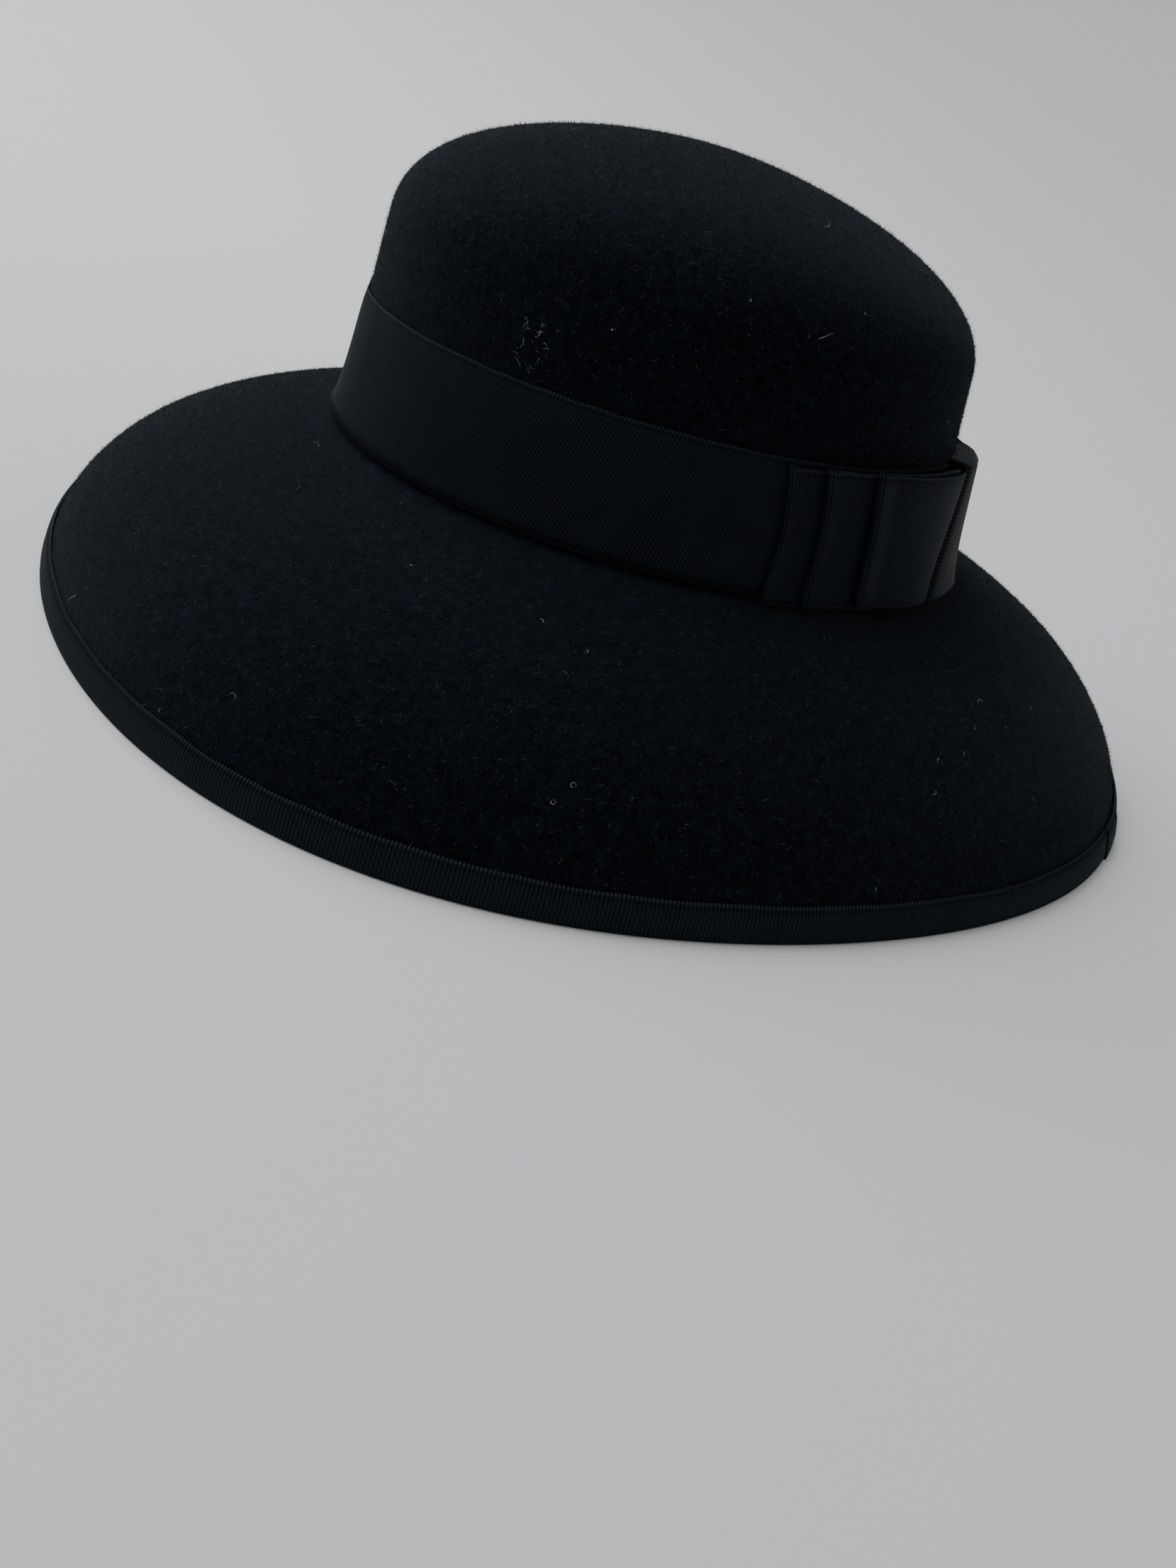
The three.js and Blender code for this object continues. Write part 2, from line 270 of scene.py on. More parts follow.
# Outward direction of the brim's outer face, from differences along and round it.
def brimNormal(turn, along):
    step = 0.01
    around = brimPoint(turn + step, along) - brimPoint(turn - step, along)
    down = brimPoint(turn, along + step) - brimPoint(turn, along - step)
    return unit(np.cross(around, down))


# A point beside the felt's rim, at a distance out from its face and a level over the floor.
def rimPoint(turn, out, level):
    step = 0.01
    rim = brimPoint(turn, np.ones_like(turn))
    down = unit(rim - brimPoint(turn, np.full_like(turn, 1 - step)))
    slope = np.hypot(down[..., 0], down[..., 1])
    across = (out + (rim[..., 2] - level) * slope) / -down[..., 2]
    point = rim + ovalNormal(turn) * across[..., None]
    point[..., 2] = level
    return point


# A point beside the felt's outer face, at a run up from the rim.
def besideBrim(turn, out, run):
    level = reachAt(turn) * (1 - sectionValue("bendOut", turn))
    drop = feltShape["brimDrop"] * (1 - sectionValue("bendDown", turn))
    along = 1 - run / (2 * np.hypot(level, drop))
    return brimPoint(turn, along) + brimNormal(turn, along) * np.asarray(out)[..., None]


def besideCrown(turn, height, out):
    return crownPoint(turn, height) + ovalNormal(turn) * np.asarray(out)[..., None]


# Waves in three directions that add up to at most one, from places in millimetres.
def softWaves(points, lengths, seed):
    random = np.random.default_rng(seed)
    total = np.zeros(points.shape[:-1])
    for length in lengths:
        direction = unit(random.normal(size=3))
        total += np.sin(points @ direction * 2 * np.pi / length + random.uniform(0, 2 * np.pi))
    return total / len(lengths)


# Fur felt, blocked with steam and brushed: a matt, deep black ground of matted fibre, mottled where the
# fibres lie in small whorls, and a little lighter where they stand up.
def feltMaterial():
    look = {
        "deep": "#030509",
        "deepAt": 0.16,
        "raised": "#141a23",
        "raisedAt": 0.42,
        "whorlSize": 2.6,
        "fibreSize": 0.7,
        "whorlHeight": 0.3,
        "fibreHeight": 0.3,
    }
    material, tree, shader = startMaterial("blackFurFelt", {
        "Roughness": 0.95,
        "Specular IOR Level": 0.03,
        "Sheen Weight": 0.2,
        "Sheen Roughness": 0.4,
        "Sheen Tint": linearColor("#88939e"),
    })
    place = addNode(tree, "ShaderNodeTexCoord")
    whorl = addNode(
        tree, "ShaderNodeTexNoise",
        {"Scale": 1 / (look["whorlSize"] * metre), "Detail": 3, "Roughness": 0.6, "Distortion": 0.6},
        {"Vector": place.outputs["Object"]},
    )
    fibre = addNode(
        tree, "ShaderNodeTexNoise",
        {"Scale": 1 / (look["fibreSize"] * metre), "Detail": 4, "Roughness": 0.7, "Distortion": 1.2},
        {"Vector": place.outputs["Object"]},
    )
    mottle = addNode(
        tree, "ShaderNodeMath", {"operation": "MULTIPLY"},
        {0: whorl.outputs["Fac"], 1: fibre.outputs["Fac"]},
    )
    tone = addNode(tree, "ShaderNodeValToRGB", {}, {"Fac": mottle.outputs[0]})
    tone.color_ramp.elements[0].position = look["deepAt"]
    tone.color_ramp.elements[0].color = linearColor(look["deep"])
    tone.color_ramp.elements[1].position = look["raisedAt"]
    tone.color_ramp.elements[1].color = linearColor(look["raised"])
    tree.links.new(tone.outputs["Color"], shader.inputs["Base Color"])
    low = addNode(
        tree, "ShaderNodeBump", {"Strength": 0.8, "Distance": look["whorlHeight"] * metre},
        {"Height": whorl.outputs["Fac"]},
    )
    fine = addNode(
        tree, "ShaderNodeBump", {"Strength": 1.0, "Distance": look["fibreHeight"] * metre},
        {"Height": fibre.outputs["Fac"], "Normal": low.outputs[0]},
    )
    tree.links.new(fine.outputs[0], shader.inputs["Normal"])
    return material


# Single fibres of the same fur, which stand out of the felt: fine, round and slightly glossy, each dyed a
# little differently, as the attribute fibreTone says.
def napMaterial():
    material, tree, shader = startMaterial("blackFurFibre", {
        "Roughness": 0.75,
        "Specular IOR Level": 0.1,
        "Sheen Weight": 0.3,
        "Sheen Roughness": 0.4,
        "Sheen Tint": linearColor("#9099a2"),
    })
    tone = addNode(tree, "ShaderNodeAttribute", {"attribute_name": "fibreTone"})
    ramp = addNode(tree, "ShaderNodeValToRGB", {}, {"Fac": tone.outputs["Fac"]})
    ramp.color_ramp.elements[0].color = linearColor("#04070c")
    ramp.color_ramp.elements[1].color = linearColor("#5c6167")
    for position, color in ((0.6, "#11161e"), (0.9, "#2c3239")):
        ramp.color_ramp.elements.new(position).color = linearColor(color)
    tree.links.new(ramp.outputs["Color"], shader.inputs["Base Color"])
    return material


# White lint that has settled on the felt: loose cotton fibre, matt and pale.
def lintMaterial():
    material, tree, shader = startMaterial("whiteLint", {"Roughness": 0.9, "Specular IOR Level": 0.2})
    place = addNode(tree, "ShaderNodeTexCoord")
    noise = addNode(tree, "ShaderNodeTexNoise", {"Scale": 300.0}, {"Vector": place.outputs["Object"]})
    ramp = addNode(tree, "ShaderNodeValToRGB", {}, {"Fac": noise.outputs["Fac"]})
    ramp.color_ramp.elements[0].color = linearColor("#6e6f70")
    ramp.color_ramp.elements[1].color = linearColor("#c9c9c6")
    tree.links.new(ramp.outputs["Color"], shader.inputs["Base Color"])
    return material


# Black grosgrain, a weave of fine warp over thick weft. Its colour holds painted light: a painted highlight
# on the crown of each rib and painted shade between ribs, a painted highlight on the rib ends along the
# selvedge, where the weft turns back, with a fine line of painted shade beside it, and a faint unevenness of
# its own.
def ribbonMaterial():
    look = {
        # painted shade between the ribs, and a painted highlight on their crowns
        "shadedValley": "#020306",
        "litCrest": "#181d24",
        # a painted highlight on the rib ends along the selvedge
        "selvedge": "#2a2f36",
        "grooveShade": "#7c7c7c",  # a share of the tone: painted shade in the fine line beside the selvedge
        "edgeWidth": 2,  # in which the painted shade line and the painted selvedge highlight lie, at these shares of it
        "grooveRun": (0.25, 0.42, 0.6),
        "selvedgeRun": (0.72, 0.86),
        "shadedValleyAt": 0.15,
        "litCrestAt": 1.2 / 1.3,
        "shadeShare": 0.45,  # of the slow unevenness, to the ribs' painted light and shade
        "threadWidth": 0.28,
        "threadHeight": 0.03,
        "shadeLength": 14,
    }
    material, tree, shader = startMaterial("blackGrosgrain", {
        "Roughness": 0.6,
        "Specular IOR Level": 0.1,
        "Specular Tint": linearColor("#c6d3e0"),
        "Sheen Weight": 0.02,
        "Sheen Roughness": 0.4,
        "Sheen Tint": linearColor("#9a9da3"),
    })
    place = addNode(tree, "ShaderNodeUVMap", {"uv_map": "ribbonRun"})
    parts = addNode(tree, "ShaderNodeSeparateXYZ", {}, {"Vector": place.outputs[0]})
    ribTurn = addNode(
        tree, "ShaderNodeMath", {"operation": "MULTIPLY", 1: 2 * math.pi / (ribbonShape["ribPitch"] * metre)},
        {0: parts.outputs["X"]},
    )
    ribWave = addNode(tree, "ShaderNodeMath", {"operation": "COSINE"}, {0: ribTurn.outputs[0]})
    ribShare = addNode(
        tree, "ShaderNodeMapRange", {"From Min": -1.0, "From Max": 1.0}, {"Value": ribWave.outputs[0]},
    )
    threads = addNode(
        tree, "ShaderNodeMapping", {"Scale": (60.0, 1 / (look["threadWidth"] * metre), 1.0)},
        {"Vector": place.outputs[0]},
    )
    threadNoise = addNode(
        tree, "ShaderNodeTexNoise", {"Scale": 1.0, "Detail": 2}, {"Vector": threads.outputs[0]},
    )
    shade = addNode(
        tree, "ShaderNodeTexNoise", {"Scale": 1 / (look["shadeLength"] * metre), "Detail": 2},
        {"Vector": place.outputs[0]},
    )
    lightness = addNode(
        tree, "ShaderNodeMath", {"operation": "MULTIPLY_ADD", 1: look["shadeShare"]},
        {0: shade.outputs["Fac"], 2: ribShare.outputs[0]},
    )
    # Painted light on the ribs: dark between them and light on their crowns, with the slow unevenness laid
    # over it.
    tone = addNode(tree, "ShaderNodeValToRGB", {}, {"Fac": lightness.outputs[0]})
    tone.color_ramp.elements[0].position = look["shadedValleyAt"]
    tone.color_ramp.elements[0].color = linearColor(look["shadedValley"])
    tone.color_ramp.elements[1].position = look["litCrestAt"]
    tone.color_ramp.elements[1].color = linearColor(look["litCrest"])
    fromMiddle = addNode(tree, "ShaderNodeMath", {"operation": "ABSOLUTE"}, {0: parts.outputs["Y"]})
    halfRibbon = ribbonShape["bandWidth"] / 2
    edgeShare = addNode(
        tree, "ShaderNodeMapRange",
        {"From Min": (halfRibbon - look["edgeWidth"]) * metre, "From Max": halfRibbon * metre},
        {"Value": fromMiddle.outputs[0]},
    )
    # Painted shade: a fine dark line beside the selvedge, multiplied into the tone.
    grooveShade = addNode(tree, "ShaderNodeValToRGB", {}, {"Fac": edgeShare.outputs[0]})
    grooveShade.color_ramp.elements[0].position = look["grooveRun"][0]
    grooveShade.color_ramp.elements[0].color = linearColor("#ffffff")
    grooveShade.color_ramp.elements[1].position = look["grooveRun"][2]
    grooveShade.color_ramp.elements[1].color = linearColor("#ffffff")
    grooveShade.color_ramp.elements.new(look["grooveRun"][1]).color = linearColor(look["grooveShade"])
    shadedLineTone = addNode(
        tree, "ShaderNodeMix", {"data_type": "RGBA", "blend_type": "MULTIPLY", 0: 1.0},
        {6: tone.outputs["Color"], 7: grooveShade.outputs["Color"]},
    )
    # Painted highlight on the selvedge: paler on the rib ends near the edge.
    selvedge = addNode(
        tree, "ShaderNodeMapRange",
        {"From Min": look["selvedgeRun"][0], "From Max": look["selvedgeRun"][1]},
        {"Value": edgeShare.outputs[0]},
    )
    teeth = addNode(
        tree, "ShaderNodeMath", {"operation": "MULTIPLY"}, {0: selvedge.outputs[0], 1: ribShare.outputs[0]},
    )
    selvedgeHighlighted = addNode(
        tree, "ShaderNodeMix", {"data_type": "RGBA", 7: linearColor(look["selvedge"])},
        {0: teeth.outputs[0], 6: shadedLineTone.outputs[2]},
    )
    tree.links.new(selvedgeHighlighted.outputs[2], shader.inputs["Base Color"])
    bump = addNode(
        tree, "ShaderNodeBump", {"Strength": 0.7, "Distance": look["threadHeight"] * metre},
        {"Height": threadNoise.outputs["Fac"]},
    )
    tree.links.new(bump.outputs[0], shader.inputs["Normal"])
    return material


felt, nap, lint, grosgrain = feltMaterial(), napMaterial(), lintMaterial(), ribbonMaterial()
print("materials made")

# The felt shell. Its rows run from the top of the crown over the brim to the rim, and back up inside.
shellDetail = {
    "columns": 360,
    "domeRows": 34,
    "wallRows": 16,
    "bendRows": 6,
    "brimRows": 44,
    "rimCrowding": 1.25,  # over one, rows lie closer together towards the rim
    "innerStep": 3,  # the inside has one row for so many outside
    "unevenness": 0.22,
    "waveLengths": [31, 47, 68, 95, 140],
}


# The outer face as a grid, and the height on the crown or the run from the rim of each row's points.
def feltGrid(detail):
    turn = np.arange(detail["columns"]) * 360 / detail["columns"]
    counts = [detail["domeRows"], detail["wallRows"], detail["bendRows"], detail["brimRows"]]
    shares = [np.arange(1, count + 1)[:, None] / count + 0 * turn for count in counts]
    brimAlong = footAlong + (1 - footAlong) * (1 - (1 - shares[3]) ** detail["rimCrowding"])
    turns = [turn + 0 * share for share in shares]
    return np.concatenate([
        domePoint(turns[0], shares[0]),
        wallPoint(turns[1], shares[1]),
        bendPoint(turns[2], shares[2]),
        brimPoint(turns[3], brimAlong),
    ])


# Outward direction at each point of a grid: differences round it crossed with differences down it.
def gridNormals(grid):
    around = np.roll(grid, -1, 1) - np.roll(grid, 1, 1)
    down = np.gradient(grid, axis=0)
    return unit(np.cross(around, down))


def addFelt(detail):
    face = feltGrid(detail)
    normals = gridNormals(face)
    waves = detail["unevenness"] * softWaves(face, detail["waveLengths"], seed=4)
    outer = face + normals * waves[..., None]
    turn = np.arange(detail["columns"]) * 360 / detail["columns"]
    inner = (outer - normals * feltShape["wall"])[::-detail["innerStep"]]
    inner[0] = rimPoint(turn, np.full_like(turn, -feltShape["wall"]), ribbonFace)
    outer[-1] = rimPoint(turn, np.zeros_like(turn), ribbonFace)
    shell = addSkin("feltShell", np.concatenate([outer, inner]), felt)
    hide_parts("felt_body")
    return outer, normals


feltFace, feltNormals = addFelt(shellDetail)
print("felt shell made")

# The nap: short fibres that lie nearly flat, and fewer long curly ones that stand up.
napShape = {
    "short": {"count": 300000, "length": (0.6, 1.7), "width": 0.12, "lift": (4, 45), "parts": 1},
    "long": {"count": 32000, "length": (1.2, 3.2), "width": 0.1, "lift": (10, 65), "parts": 3},
    "perPiece": 150000,
}
fibreShape = {
    "rooted": 0.05,  # in the felt
    "settled": 0.6,  # share of its lift that a fibre has lost at its tip
    "tip": 0.25,  # length over which it would taper on past its tip, in parts
    "paleness": 3,  # power of an even draw, so that most fibres are dark
}
# Lint strewn over the felt, and a small tuft of it in one place.
lintShape = {"count": 100, "length": (0.8, 4.5), "width": 0.16, "lift": (5, 30), "parts": 8}
tuftShape = {"count": 26, "length": (0.6, 3.4), "width": 0.09, "lift": (5, 40), "parts": 6}
tuftPlace, tuftSpread = [76.9, -9.0, 101.5], 6.5  # on the wearer's left of the crown


# Random places on the grid, as often on a face as its area says: the cell is drawn from the summed areas
# and the place in it is bilinear. Rows are left out where a keep value says so.
def scatter(count, keep, random):
    right = np.roll(feltFace, -1, 1)
    sides = np.cross(right[:-1] - feltFace[:-1], feltFace[1:] - feltFace[:-1])
    areas = np.linalg.norm(sides, axis=-1) * keep[:-1]
    cells = np.searchsorted(np.cumsum(areas), random.uniform(0, areas.sum(), count))
    row, column = np.divmod(cells, feltFace.shape[1])
    after = (column + 1) % feltFace.shape[1]
    a, b = random.uniform(size=(2, count, 1))
    places = (1 - a) * ((1 - b) * feltFace[row, column] + b * feltFace[row, after])
    places += a * ((1 - b) * feltFace[row + 1, column] + b * feltFace[row + 1, after])
    return places, feltNormals[row, column]


# Flat tapered fibres. Each leaves its root at a lift and in a direction along the felt, and turns about the
# felt's normal as it goes: a place on it is the sum of equal steps cos(lift) * heading + sin(lift) * normal.
def addFibres(name, shape, count, keep, material, seed, curl):
    random = np.random.default_rng(seed)
    roots, normals = scatter(count, keep, random)
    flat = unit(np.cross(normals, random.normal(size=(count, 3))))
    other = np.cross(normals, flat)
    lengths = random.uniform(*shape["length"], size=(count, 1))
    lifts = np.radians(random.uniform(*shape["lift"], size=(count, 1)))
    curls = np.radians(random.normal(0, curl, size=(count, 1)))
    parts = shape["parts"]
    centre = [roots - fibreShape["rooted"] * normals]
    for part in range(parts):
        angle = curls * part
        heading = flat * np.cos(angle) + other * np.sin(angle)
        lift = lifts * (1 - fibreShape["settled"] * part / max(1, parts - 1))
        centre.append(centre[-1] + (heading * np.cos(lift) + normals * np.sin(lift)) * lengths / parts)
    line = np.stack(centre, 1)
    side = unit(np.cross(np.gradient(line, axis=1), normals[:, None, :]))
    taper = 1 - np.arange(parts + 1) / (parts + fibreShape["tip"])
    taper = shape["width"] / 2 * taper[None, :, None]
    edges = np.stack([line - side * taper, line + side * taper], 2)
    if parts == 1:
        points = np.concatenate([edges[:, 0], line[:, 1:]], 1)
        faces = np.arange(count * 3).reshape(-1, 3)
    else:
        points = edges.reshape(count, -1, 3)
        start = np.arange(count)[:, None] * 2 * (parts + 1) + 2 * np.arange(parts)
        faces = np.stack([start, start + 1, start + 3, start + 2], -1).reshape(-1, 4)
    piece = addPiece(name, points.reshape(-1, 3), [faces], material, smooth=False)
    tones = random.uniform(size=count) ** fibreShape["paleness"]
    tones = np.repeat(tones, points.shape[1]).astype(np.float32)
    layer = piece.data.attributes.new("fibreTone", "FLOAT", "POINT")
    layer.data.foreach_set("value", tones)
    return piece


# One where the felt shows, and nothing under the band and the binding, but for a margin at their edges.
bandMargin, bindingMargin = 0.5, 0.6


def bareFelt(detail):
    heights = feltFace[..., 2] - footLevel
    crownRows = detail["domeRows"] + detail["wallRows"]
    rows = np.arange(len(feltFace))[:, None]
    underBand = (rows < crownRows + detail["bendRows"]) & (heights < bandTop - bandMargin)
    runs = np.linalg.norm(feltFace[-1] - feltFace, axis=-1)
    underBinding = runs < ribbonShape["bindingWidth"] - ribbonFace - bindingMargin
    return np.where(underBand | underBinding, 0.0, 1.0)


bare = bareFelt(shellDetail)
pieces = math.ceil(napShape["short"]["count"] / napShape["perPiece"])
for i in range(pieces):
    count = napShape["short"]["count"] // pieces
    addFibres(f"napShort{i + 1}", napShape["short"], count, bare, nap, 20 + i, curl=0)
addFibres("napLong", napShape["long"], napShape["long"]["count"], bare, nap, 31, curl=28)
addFibres("lintSpecks", lintShape, lintShape["count"], bare, lint, 47, curl=32)
inTuft = np.where(np.linalg.norm(feltFace - tuftPlace, axis=-1) < tuftSpread, 1.0, 0.0)
addFibres("lintTuft", tuftShape, tuftShape["count"], inTuft, lint, 59, curl=24)
print("nap and lint made")


selvedgeRound = 0.3  # run over which a ribbon's faces close at its selvedge


# Section of a ribbon, closed: up the outer face, over the upper selvedge, down the inner face and under the
# lower selvedge. Gives places across the ribbon, out from its middle, and whether a rib shows there.
def ribbonSection(width, thick, outerRows, innerRows):
    outer = np.linspace(selvedgeRound, width - selvedgeRound, outerRows)
    inner = np.linspace(width - selvedgeRound, selvedgeRound, innerRows)
    across = np.concatenate([outer, [width], inner, [0.0]])
    out = np.concatenate([np.full(outerRows, thick / 2), [0], np.full(innerRows, -thick / 2), [0]])
    ribbed = np.concatenate([np.ones(outerRows), [0], -np.ones(innerRows), [0]])
    edges = np.concatenate([np.zeros(outerRows), [1], np.zeros(innerRows), [-1]])
    return across[:, None], out[:, None], ribbed[:, None], edges[:, None]


perRib = 4  # columns of a ribbed mesh in each rib


# Ribs stand out by ribDepth / 2 times the cosine of their phase, and the selvedge by scallop times it.
def ribWave(columns):
    return np.cos(2 * np.pi * np.arange(columns) / perRib)


turnSteps = 1440  # in which a path round the hat is measured


# Where a path has gone each equal share of its run: turns at which the summed length reaches it.
def evenTurns(pathPoint, columns):
    turn = np.linspace(0, 360, turnSteps + 1)
    path = pathPoint(turn)
    run = np.concatenate([[0], np.cumsum(np.linalg.norm(np.diff(path, axis=0), axis=1))])
    return np.interp(np.arange(columns) / columns * run[-1], run, turn), run[-1]


# The band round the crown. Its ribs lean at the sides, where the ribbon was drawn round the crown, and its
# upper selvedge is drawn in unevenly by the thread that holds it.
bandShape = {
    "lean": 16,
    "leanFrom": 20,
    "leanTo": 150,
    "pucker": 0.35,
    "puckerLengths": [9, 14, 23],
    "puckerDepth": 4,
    "drawnIn": 0.5,
    "drawnDepth": 2.5,
    "waver": 0.25,
    "waverDepth": 2,
    "outerRows": 12,
    "innerRows": 4,
}


def addBand(shape):
    middle = bandFoot + ribbonShape["bandWidth"] / 2
    _, girth = evenTurns(lambda turn: besideCrown(turn, middle, ribbonFace), 4)
    columns = perRib * round(girth / ribbonShape["ribPitch"])
    turn, _ = evenTurns(lambda turn: besideCrown(turn, middle, ribbonFace), columns)
    thick = ribbonShape["thick"] - ribbonShape["ribDepth"] / 2
    across, out, ribbed, edges = ribbonSection(
        ribbonShape["bandWidth"], thick, shape["outerRows"], shape["innerRows"],
    )
    side = np.minimum(turn, 360 - turn)
    leaning = np.clip((side - shape["leanFrom"]) / (shape["leanTo"] - shape["leanFrom"]), 0, 1)
    slant = np.tan(np.radians(shape["lean"])) * np.sin(np.pi * leaning) * np.sign(turn - 180)
    shift = slant * (across - ribbonShape["bandWidth"] / 2) * 360 / girth
    wave = ribWave(columns)
    height = bandFoot + across + ribbonShape["scallop"] * edges * wave
    lift = ribbonShape["ribDepth"] / 2 * ribbed * wave
    places = besideCrown(turn, middle, 0.0)
    pull = softWaves(places, shape["puckerLengths"], seed=7)
    fromTop = ribbonShape["bandWidth"] - across
    lift = lift + shape["pucker"] * pull * np.exp(-fromTop / shape["puckerDepth"])
    height = height + shape["waver"] * pull * np.exp(-fromTop / shape["waverDepth"])
    lift = lift - shape["drawnIn"] * np.exp(-fromTop / shape["drawnDepth"]) * (ribbed > 0)
    grid = besideCrown(turn + shift, height, ribbonShape["fit"] + thick / 2 + out + lift)
    along = np.arange(columns + 1) * ribbonShape["ribPitch"] / perRib
    rows = np.append(across[:, 0], across[0, 0]) - ribbonShape["bandWidth"] / 2
    band = addSkin("bandRibbon", grid, grosgrain, True, along, rows)
    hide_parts("hat_band")


addBand(bandShape)
print("band made")

# The ribbon folded over the rim. Its inner selvedge waves a little, and its end is lapped over its start.
bindingShape = {
    "round": 0.9,
    "lapTurn": 3.5,
    "lapSpan": 5,
    "lapThick": 0.6,
    "waver": 0.3,
    "waverLengths": [17, 29, 53],
    "drawnIn": 0.5,  # by which the stitches draw its selvedge down
}


def addBinding(shape):
    step = ribbonShape["ribPitch"]
    _, girth = evenTurns(lambda turn: rimPoint(turn, 0 * turn, ribbonFace), 4)
    columns = perRib * round(girth / step)
    turn, _ = evenTurns(lambda turn: rimPoint(turn, 0 * turn, ribbonFace), columns)
    wave = ribWave(columns)
    rib = ribbonShape["ribDepth"] / 2 * wave
    lapped = (turn > shape["lapTurn"]) & (turn < shape["lapTurn"] + shape["lapSpan"])
    face = ribbonFace - ribbonShape["ribDepth"] / 2 + rib + np.where(lapped, shape["lapThick"], 0)
    inside = -feltShape["wall"] - ribbonFace + ribbonShape["ribDepth"] / 2 - rib
    places = rimPoint(turn, 0 * turn, ribbonFace)
    waver = shape["waver"] * softWaves(places, shape["waverLengths"], seed=11)
    run = ribbonShape["bindingWidth"] - ribbonFace + waver + ribbonShape["scallop"] * wave
    turned = shape["round"]
    low = turned * 0.3
    fit = ribbonShape["fit"] + 0 * turn
    behind = -feltShape["wall"] - ribbonShape["fit"] + 0 * turn
    rows = [
        besideBrim(turn, face - shape["drawnIn"], run - selvedgeRound),
        besideBrim(turn, face - shape["drawnIn"] * 0.3, run * 0.85),
        besideBrim(turn, face, run * 0.65),
        besideBrim(turn, face, run * 0.4),
        rimPoint(turn, face, ribbonFace + turned),
        rimPoint(turn, face - low, low),
        rimPoint(turn, face - turned, 0.0),
        rimPoint(turn, inside + turned, 0.0),
        rimPoint(turn, inside + low, low),
        rimPoint(turn, inside, ribbonFace + turned),
        besideBrim(turn, inside, run * 0.6),
        besideBrim(turn, inside, run - selvedgeRound),
        besideBrim(turn, (inside + behind) / 2, run),
        besideBrim(turn, behind, run - selvedgeRound),
        rimPoint(turn, behind, ribbonShape["thick"]),
        rimPoint(turn, fit, ribbonShape["thick"]),
        besideBrim(turn, fit, run - selvedgeRound),
        besideBrim(turn, (face - shape["drawnIn"] + fit) / 2, run),
    ]
    # Places across the ribbon for the material: selvedge at the first row, and at the other edge inside.
    along = np.arange(columns + 1) * step / perRib
    selvedge = ribbonShape["bandWidth"] / 2
    outside = selvedge - np.array([0, 1, 2.8, 4.6, 6, 7, 8])
    inward = -selvedge + np.array([8, 7, 6, 3, selvedgeRound, 0, 0.5, 8, 20, 30, 2 * selvedge])
    across = np.concatenate([outside, inward, outside[:1]])
    binding = addSkin("rimBinding", np.stack(rows), grosgrain, True, along, across)
    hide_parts("brim_binding")


addBinding(bindingShape)
print("binding made")

# The bow: loops that lie on one another, drawn together by a knot.
bowShape = {
    "turn": 2.6,
    "leaf": 0.5,  # the bow's ribbon is pressed thinner than the band's
    "rest": 0.12,  # the gap between its layers
    "slit": 0.4,
    "pressedSlit": 0.2,
    "slitRun": 6,
    "ribDepth": 0.09,
    "scallop": 0.07,
    "waist": 0.03,  # share of its run by which a fold is drawn in halfway up
    "knotWidth": 24,
    "knotLean": 15,
    "leanRun": 25,
    "knotPuff": 1.2,
    "knotThick": 0.9,
    "foldPuff": 1.5,  # by which a leaf stands up towards its fold, over foldRun
    "foldRun": 7,
    "farBulge": 0.3,  # share of a bulge on the side away from the wearer's left
    "farSink": 1.8,  # by which the loops lie lower there, reached over farRun
    "farRun": 20,
    "archPower": 0.7,  # under one, a bulge is fullest nearer to the knot than to the fold
    "softness": 0.1,
    "softLengths": [19, 31, 44],
    "leafSteps": 400,
    "foldSteps": 24,
    "foldAngle": 75,
    "foldSwell": 0.1,
    "outerRows": 10,
    "innerRows": 8,
    "pinch": 1.6,
    "corner": 1.6,  # radius of the knot's middle line where it turns over the bow's edges
    "cornerSteps": 12,
    "tucked": 0.2,  # by which the ends of the knot's line stop short of what is behind them
    "headTucked": 0.1,
    "crease": 0.06,  # of three faint folds along the knot
    "knotOuterRows": 36,
    "knotInnerRows": 6,
    "loops": [
        {"name": "bowLoopLong", "node": "bow_loop_long", "reach": 74.8, "bulge": 0, "sink": 1.5},
        {"name": "bowLoopMiddle", "node": "bow_loop_middle", "reach": 64.5, "bulge": 0.2, "sink": 0.4},
        {"name": "bowLoopShort", "node": "bow_loop_short", "reach": 49.5, "bulge": 2.2, "sink": -0.6},
    ],
}
knotHalf = bowShape["knotWidth"] / 2
bowMiddle = bandFoot + ribbonShape["bandWidth"] / 2
bowTurns = np.linspace(-70, 90, 1601)
bowLine = besideCrown(bowTurns, bowMiddle, ribbonFace)
bowRuns = np.concatenate([[0], np.cumsum(np.linalg.norm(np.diff(bowLine, axis=0), axis=1))])
bowRuns -= np.interp(bowShape["turn"], bowTurns, bowRuns)


def grow(start, length, run):
    return np.clip((np.abs(run) - start) / length, 0, 1)


# A point of the bow: run round the band from the middle of the knot, out from the band, and up the crown.
# The knot leans by knotLean from edge to edge of the band, and draws the loops beside it along. Each fold
# is drawn in by waist times half a sine wave over its height.
def bowPoint(run, out, height):
    fromMiddle = (bowMiddle - height) / ribbonShape["bandWidth"]
    lean = bowShape["knotLean"] * fromMiddle * (1 - grow(knotHalf, bowShape["leanRun"], run))
    run = run * (1 - bowShape["waist"] * np.cos(np.pi * np.clip(fromMiddle, -0.5, 0.5))) + lean
    return besideCrown(np.interp(run, bowRuns, bowTurns), height, ribbonFace + out)


